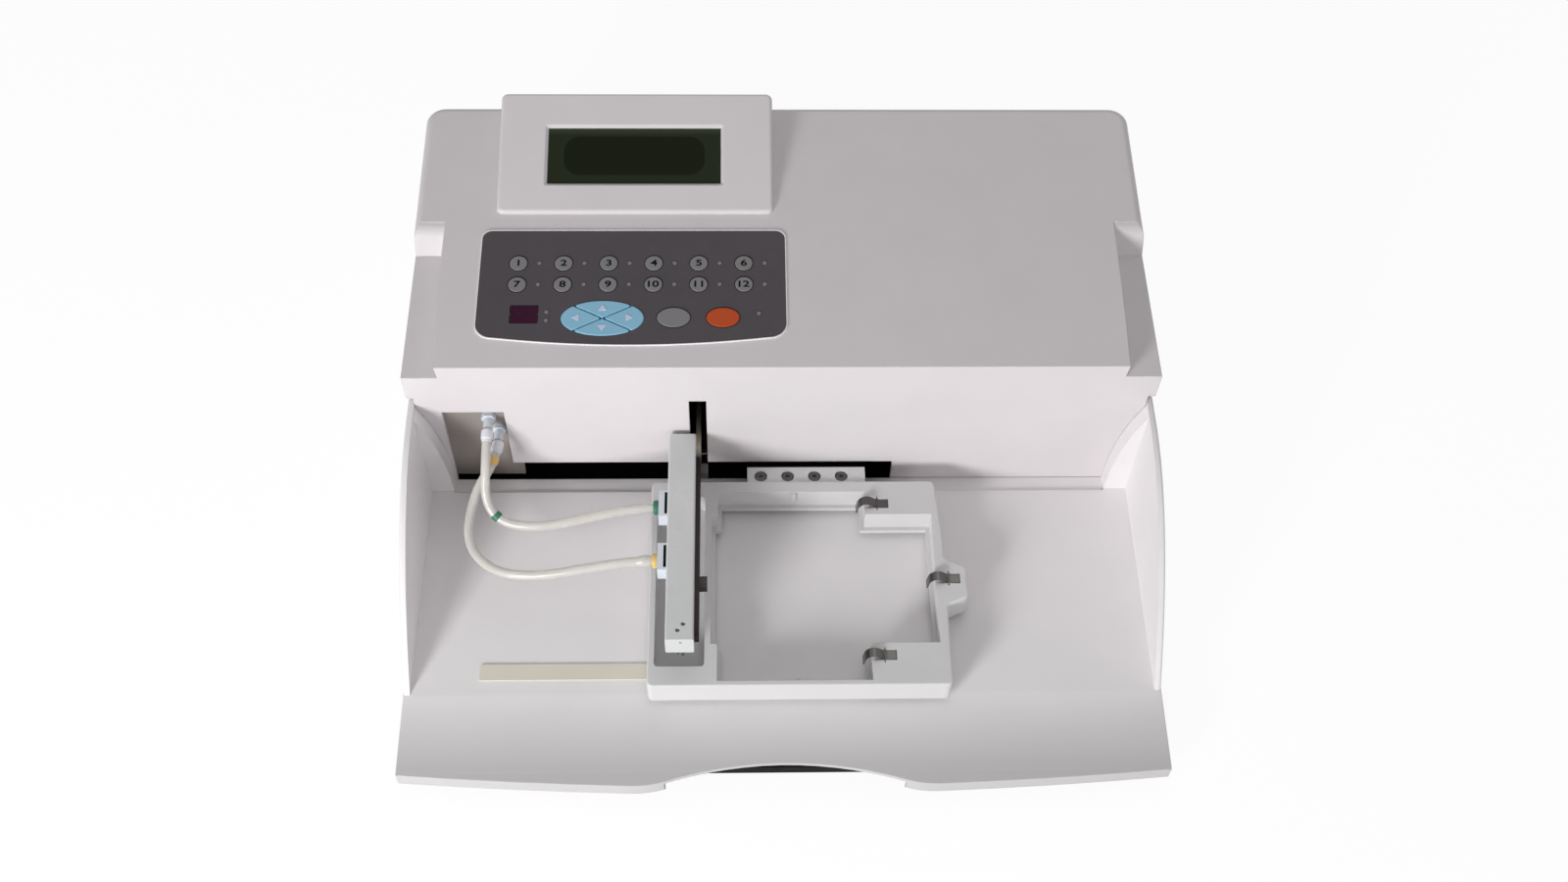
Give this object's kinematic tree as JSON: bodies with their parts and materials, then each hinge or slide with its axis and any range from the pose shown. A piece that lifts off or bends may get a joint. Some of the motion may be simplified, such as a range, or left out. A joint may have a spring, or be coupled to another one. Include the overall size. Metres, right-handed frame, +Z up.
{
  "type": "microplate washer",
  "caption": "Bench microplate washer: tray with arched side walls, travelling plate carrier, lifting needle head on an arm, hood with display housing and keypad.",
  "frame": {"origin": "on the table, under the middle of the overall box", "axes": "+X to the right along the carriage travel, +Y from the front lip to the rear wall, +Z up"},
  "size_m": [0.446, 0.4067, 0.1689],
  "materials": {
    "white_housing": "fine satin moulded plastic, off-white",
    "black_plate": "satin black sheet",
    "foot_rubber": "matt black rubber",
    "cream_strip": "smooth cream low-friction tape",
    "display_glass": "dark green-grey clear window",
    "module_body": "matt dark module",
    "slate_film": "fine-textured slate grey film",
    "grey_key": "satin grey silicone key",
    "blue_key": "satin pale blue key",
    "orange_key": "satin orange key",
    "lamp_lens": "small clear lens",
    "grey_panel": "satin light grey sheet",
    "clear_fitting": "milky clear plastic",
    "white_carrier": "satin white moulded plastic",
    "steel": "plain stainless steel",
    "rod_chrome": "ground bright rod",
    "dark_metal": "black anodised",
    "bare_metal": "machined, bare",
    "motor_body": "satin black",
    "belt_rubber": "matt black",
    "head_white": "smooth off-white acrylic",
    "knob_black": "moulded black, knurled",
    "board_green": "solder-masked board",
    "pump_plastic": "moulded dark grey",
    "black_plastic": "moulded black",
    "port_grey": "moulded grey",
    "tube_silicone": "milky clear silicone"
  },
  "bodies": {
    "housing": {"lower_housing": "white_housing", "base_plate": "black_plate", "rubber_feet": "foot_rubber", "guide_strip": "cream_strip", "hood": "white_housing", "display_window": "display_glass", "lcd_module": "module_body", "keypad_film": "slate_film", "indicator_lamps": "lamp_lens", "hose_panel": "grey_panel", "panel_nipples": "clear_fitting", "carriage_rail": "steel", "carriage_motor": "motor_body", "drive_belt": "belt_rubber", "lift_frame": "steel", "lift_rods": "rod_chrome", "lift_motor": "motor_body", "main_board": "board_green", "power_supply": "board_green", "fluid_pumps": "pump_plastic", "power_inlet": "black_plastic", "bottle_ports": "port_grey", "supply_tube": "tube_silicone", "drain_tube": "tube_silicone"},
    "carriage": {"carrier": "white_carrier", "carrier_screws": "steel", "carriage_bracket": "dark_metal", "bearing_block": "bare_metal"},
    "head": {"wash_head": "head_white", "wash_needles": "steel", "head_fittings": "clear_fitting", "head_arm": "bare_metal", "lift_block": "dark_metal"},
    "plate_clip_rear_body": {"plate_clip_rear": "steel"},
    "plate_clip_side_body": {"plate_clip_side": "steel"},
    "plate_clip_front_body": {"plate_clip_front": "steel"},
    "drive_pulley_body": {"drive_pulley": "bare_metal"},
    "idler_pulley_body": {"idler_pulley": "bare_metal"},
    "lift_screw_body": {"lift_screw": "steel"},
    "head_knob_rear_body": {"head_knob_rear": "knob_black"},
    "head_knob_front_body": {"head_knob_front": "knob_black"},
    "rocker_switch_body": {"rocker_switch": "black_plastic"},
    "cycle_key_body": {"cycle_key": "grey_key"},
    "start_key_body": {"start_key": "orange_key"},
    "number_key_01_body": {"number_key_01": "grey_key"},
    "number_key_02_body": {"number_key_02": "grey_key"},
    "number_key_03_body": {"number_key_03": "grey_key"},
    "number_key_04_body": {"number_key_04": "grey_key"},
    "number_key_05_body": {"number_key_05": "grey_key"},
    "number_key_06_body": {"number_key_06": "grey_key"},
    "number_key_07_body": {"number_key_07": "grey_key"},
    "number_key_08_body": {"number_key_08": "grey_key"},
    "number_key_09_body": {"number_key_09": "grey_key"},
    "number_key_10_body": {"number_key_10": "grey_key"},
    "number_key_11_body": {"number_key_11": "grey_key"},
    "number_key_12_body": {"number_key_12": "grey_key"},
    "arrow_key_up_body": {"arrow_key_up": "blue_key"},
    "arrow_key_down_body": {"arrow_key_down": "blue_key"},
    "arrow_key_left_body": {"arrow_key_left": "blue_key"},
    "arrow_key_right_body": {"arrow_key_right": "blue_key"}
  },
  "joints": [
    {"name": "carriage_slide", "type": "slide", "parent": "housing", "child": "carriage", "axis": [1, 0, 0], "range_m": [-0.134, 0.008]},
    {"name": "head_lift", "type": "slide", "parent": "housing", "child": "head", "axis": [0, 0, -1], "range_m": [-0.004, 0.015]},
    {"name": "drive_pulley_spin", "type": "hinge", "parent": "housing", "child": "drive_pulley_body", "pos_m": [0.112, 0.0635, 0.038], "axis": [0, 0, 1], "continuous": true},
    {"name": "idler_pulley_spin", "type": "hinge", "parent": "housing", "child": "idler_pulley_body", "pos_m": [-0.182, 0.0635, 0.038], "axis": [0, 0, 1], "continuous": true},
    {"name": "lift_screw_spin", "type": "hinge", "parent": "housing", "child": "lift_screw_body", "pos_m": [-0.0508, 0.0925, 0.06], "axis": [0, 0, 1], "continuous": true},
    {"name": "head_knob_rear_turn", "type": "hinge", "parent": "head", "child": "head_knob_rear_body", "pos_m": [-0.047, -0.0206, 0.07], "axis": [1, 0, 0], "continuous": true},
    {"name": "head_knob_front_turn", "type": "hinge", "parent": "head", "child": "head_knob_front_body", "pos_m": [-0.047, -0.0989, 0.07], "axis": [1, 0, 0], "continuous": true},
    {"name": "plate_clip_rear_pivot", "type": "hinge", "parent": "carriage", "child": "plate_clip_rear_body", "pos_m": [0.0586, -0.0295, 0.0453], "axis": [0, -1, 0], "range_deg": [0, 10], "stiffness_Nm_per_rad": 0.2, "springref_deg": -4.58},
    {"name": "plate_clip_side_pivot", "type": "hinge", "parent": "carriage", "child": "plate_clip_side_body", "pos_m": [0.0991, -0.0825, 0.0453], "axis": [0, -1, 0], "range_deg": [0, 10], "stiffness_Nm_per_rad": 0.2, "springref_deg": -4.58},
    {"name": "plate_clip_front_pivot", "type": "hinge", "parent": "carriage", "child": "plate_clip_front_body", "pos_m": [0.0586, -0.1332, 0.0453], "axis": [0, -1, 0], "range_deg": [0, 10], "stiffness_Nm_per_rad": 0.2, "springref_deg": -4.58},
    {"name": "number_key_01_press", "type": "slide", "parent": "housing", "child": "number_key_01_body", "axis": [0, 0.0499, -0.9988], "range_m": [0, 0.0004], "stiffness_N_per_m": 400, "springref_m": -0.0006},
    {"name": "number_key_02_press", "type": "slide", "parent": "housing", "child": "number_key_02_body", "axis": [0, 0.0499, -0.9988], "range_m": [0, 0.0004], "stiffness_N_per_m": 400, "springref_m": -0.0006},
    {"name": "number_key_03_press", "type": "slide", "parent": "housing", "child": "number_key_03_body", "axis": [0, 0.0499, -0.9988], "range_m": [0, 0.0004], "stiffness_N_per_m": 400, "springref_m": -0.0006},
    {"name": "number_key_04_press", "type": "slide", "parent": "housing", "child": "number_key_04_body", "axis": [0, 0.0499, -0.9988], "range_m": [0, 0.0004], "stiffness_N_per_m": 400, "springref_m": -0.0006},
    {"name": "number_key_05_press", "type": "slide", "parent": "housing", "child": "number_key_05_body", "axis": [0, 0.0499, -0.9988], "range_m": [0, 0.0004], "stiffness_N_per_m": 400, "springref_m": -0.0006},
    {"name": "number_key_06_press", "type": "slide", "parent": "housing", "child": "number_key_06_body", "axis": [0, 0.0499, -0.9988], "range_m": [0, 0.0004], "stiffness_N_per_m": 400, "springref_m": -0.0006},
    {"name": "number_key_07_press", "type": "slide", "parent": "housing", "child": "number_key_07_body", "axis": [0, 0.0499, -0.9988], "range_m": [0, 0.0004], "stiffness_N_per_m": 400, "springref_m": -0.0006},
    {"name": "number_key_08_press", "type": "slide", "parent": "housing", "child": "number_key_08_body", "axis": [0, 0.0499, -0.9988], "range_m": [0, 0.0004], "stiffness_N_per_m": 400, "springref_m": -0.0006},
    {"name": "number_key_09_press", "type": "slide", "parent": "housing", "child": "number_key_09_body", "axis": [0, 0.0499, -0.9988], "range_m": [0, 0.0004], "stiffness_N_per_m": 400, "springref_m": -0.0006},
    {"name": "number_key_10_press", "type": "slide", "parent": "housing", "child": "number_key_10_body", "axis": [0, 0.0499, -0.9988], "range_m": [0, 0.0004], "stiffness_N_per_m": 400, "springref_m": -0.0006},
    {"name": "number_key_11_press", "type": "slide", "parent": "housing", "child": "number_key_11_body", "axis": [0, 0.0499, -0.9988], "range_m": [0, 0.0004], "stiffness_N_per_m": 400, "springref_m": -0.0006},
    {"name": "number_key_12_press", "type": "slide", "parent": "housing", "child": "number_key_12_body", "axis": [0, 0.0499, -0.9988], "range_m": [0, 0.0004], "stiffness_N_per_m": 400, "springref_m": -0.0006},
    {"name": "arrow_key_up_press", "type": "slide", "parent": "housing", "child": "arrow_key_up_body", "axis": [0, 0.0499, -0.9988], "range_m": [0, 0.0004], "stiffness_N_per_m": 400, "springref_m": -0.0006},
    {"name": "arrow_key_down_press", "type": "slide", "parent": "housing", "child": "arrow_key_down_body", "axis": [0, 0.0499, -0.9988], "range_m": [0, 0.0004], "stiffness_N_per_m": 400, "springref_m": -0.0006},
    {"name": "arrow_key_left_press", "type": "slide", "parent": "housing", "child": "arrow_key_left_body", "axis": [0, 0.0499, -0.9988], "range_m": [0, 0.0004], "stiffness_N_per_m": 400, "springref_m": -0.0006},
    {"name": "arrow_key_right_press", "type": "slide", "parent": "housing", "child": "arrow_key_right_body", "axis": [0, 0.0499, -0.9988], "range_m": [0, 0.0004], "stiffness_N_per_m": 400, "springref_m": -0.0006},
    {"name": "cycle_key_press", "type": "slide", "parent": "housing", "child": "cycle_key_body", "axis": [0, 0.0499, -0.9988], "range_m": [0, 0.0004], "stiffness_N_per_m": 400, "springref_m": -0.0006},
    {"name": "start_key_press", "type": "slide", "parent": "housing", "child": "start_key_body", "axis": [0, 0.0499, -0.9988], "range_m": [0, 0.0004], "stiffness_N_per_m": 400, "springref_m": -0.0006},
    {"name": "rocker_tip", "type": "hinge", "parent": "housing", "child": "rocker_switch_body", "pos_m": [-0.15, 0.196, 0.071], "axis": [1, 0, 0], "range_deg": [-16, 0]}
  ],
  "couplings": [
    {"joint": "drive_pulley_spin", "follows": "carriage_slide", "rad_per_m": 156.25},
    {"joint": "idler_pulley_spin", "follows": "carriage_slide", "rad_per_m": 156.25},
    {"joint": "lift_screw_spin", "follows": "head_lift", "rad_per_m": 785.4}
  ]
}
